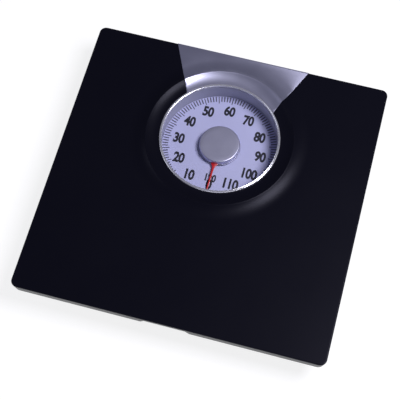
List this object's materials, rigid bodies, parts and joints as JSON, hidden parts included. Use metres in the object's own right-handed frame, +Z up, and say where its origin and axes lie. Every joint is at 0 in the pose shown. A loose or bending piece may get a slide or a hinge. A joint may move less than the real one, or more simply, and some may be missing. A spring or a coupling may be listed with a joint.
{
  "type": "dial platform scale",
  "caption": "Low square platform scale for weighing a person, with a round sunken dial behind, a red pointer turned by levers and a rack, and a thumbwheel to set zero.",
  "frame": {"origin": "on the floor, under the middle of the platform", "axes": "+X to the right along the front edge, +Y to the back where the dial is, +Z up"},
  "size_m": [0.3198, 0.3102, 0.0505],
  "materials": {
    "black_cover": "satin",
    "black_steel": "satin",
    "silver_trim": "satin",
    "bright_ring": "polished",
    "clear_lens": "clear",
    "grey_well": "satin",
    "dial_print": "matte",
    "red_pointer": "satin",
    "zinc_steel": "zinc plated",
    "bright_steel": "bright",
    "spring_steel": "oiled",
    "brass": "turned",
    "white_nylon": "moulded",
    "black_wheel": "moulded",
    "foot_rubber": "matte"
  },
  "bodies": {
    "base": {"base_tray": "black_steel", "bracket_rivets": "bright_steel", "cal_bracket": "zinc_steel", "cal_pin": "bright_steel", "crank_bracket": "zinc_steel", "crank_pin": "bright_steel", "dial_bridge": "zinc_steel", "dial_plate": "dial_print", "dial_posts": "bright_steel", "dial_screws": "bright_steel", "foot_bearing": "brass", "foot_front_left": "foot_rubber", "foot_front_right": "foot_rubber", "foot_rear_left": "foot_rubber", "foot_rear_right": "foot_rubber", "foot_rivets": "bright_steel", "main_spring": "spring_steel", "pivot_bracket_front_left": "zinc_steel", "pivot_bracket_front_right": "zinc_steel", "pivot_bracket_rear_left": "zinc_steel", "pivot_bracket_rear_right": "zinc_steel", "pivot_pins": "bright_steel", "rack_guide": "white_nylon", "screw_bracket": "zinc_steel", "shaft_bush": "brass"},
    "platform": {"platform_cover": "black_cover", "platform_plate": "zinc_steel", "cover_screws": "bright_steel", "trim_panel": "silver_trim", "bezel_ring": "bright_ring", "lens": "clear_lens", "dial_well": "grey_well", "well_screws": "bright_steel", "load_posts": "zinc_steel"},
    "long_lever_arm": {"long_lever": "zinc_steel", "long_lever_pins": "bright_steel"},
    "left_lever_arm": {"short_lever_left": "zinc_steel", "short_pin_left": "bright_steel"},
    "right_lever_arm": {"short_lever_right": "zinc_steel", "short_pin_right": "bright_steel"},
    "tilt_plate": {"calibrating_plate": "zinc_steel", "spring_link": "bright_steel"},
    "lift_screw": {"adjusting_screw": "bright_steel"},
    "thumb_wheel": {"zero_wheel": "black_wheel"},
    "crank": {"bell_crank": "zinc_steel"},
    "rack_slide": {"rack": "zinc_steel"},
    "pointer": {"pinion": "brass", "pointer_shaft": "bright_steel", "hub_disc": "silver_trim", "needle": "red_pointer", "hub_cap": "silver_trim"}
  },
  "joints": [
    {"name": "pointer_turn", "type": "hinge", "parent": "base", "child": "pointer", "pos_m": [0, 0.0553, 0.0235], "axis": [0, 0, -1], "range_deg": [0, 360.05], "stiffness_Nm_per_rad": 0.024, "springref_deg": -6.88},
    {"name": "platform_press", "type": "slide", "parent": "base", "child": "platform", "axis": [0, 0, -1], "range_m": [0, 0.0008]},
    {"name": "long_lever_pivot", "type": "hinge", "parent": "base", "child": "long_lever_arm", "pos_m": [0, 0.118, 0.024], "axis": [1, 0, 0], "range_deg": [0, 1.64]},
    {"name": "left_lever_pivot", "type": "hinge", "parent": "base", "child": "left_lever_arm", "pos_m": [0, -0.118, 0.024], "axis": [-1, 0, 0], "range_deg": [0, 1.64]},
    {"name": "right_lever_pivot", "type": "hinge", "parent": "base", "child": "right_lever_arm", "pos_m": [0, -0.118, 0.024], "axis": [-1, 0, 0], "range_deg": [0, 1.64]},
    {"name": "plate_tilt", "type": "hinge", "parent": "base", "child": "tilt_plate", "pos_m": [0, -0.07, 0.0105], "axis": [1, 0, 0], "range_deg": [0, 8.05], "deforming": ["main_spring"]},
    {"name": "crank_swing", "type": "hinge", "parent": "base", "child": "crank", "pos_m": [0, -0.11983, 0.01796], "axis": [1, 0, 0], "range_deg": [0, 47.66]},
    {"name": "rack_travel", "type": "slide", "parent": "base", "child": "rack_slide", "axis": [0, -1, 0], "range_m": [0, 0.01728]},
    {"name": "wheel_turn", "type": "hinge", "parent": "base", "child": "thumb_wheel", "pos_m": [0, -0.129, 0], "axis": [0, 0, 1], "range_deg": [-360, 360]},
    {"name": "screw_lift", "type": "slide", "parent": "base", "child": "lift_screw", "axis": [0, 0, 1], "range_m": [-0.0008, 0.0008]}
  ],
  "couplings": [
    {"joint": "pointer_turn", "follows": "platform_press", "rad_per_m": 7854},
    {"joint": "long_lever_pivot", "follows": "platform_press", "rad_per_m": 35.714},
    {"joint": "left_lever_pivot", "follows": "platform_press", "rad_per_m": 35.714},
    {"joint": "right_lever_pivot", "follows": "platform_press", "rad_per_m": 35.714},
    {"joint": "plate_tilt", "follows": "platform_press", "rad_per_m": 175.6},
    {"joint": "crank_swing", "follows": "platform_press", "rad_per_m": 1039.2},
    {"joint": "rack_travel", "follows": "platform_press", "ratio": 21.598},
    {"joint": "screw_lift", "follows": "wheel_turn", "m_per_rad": 0.00012732}
  ]
}
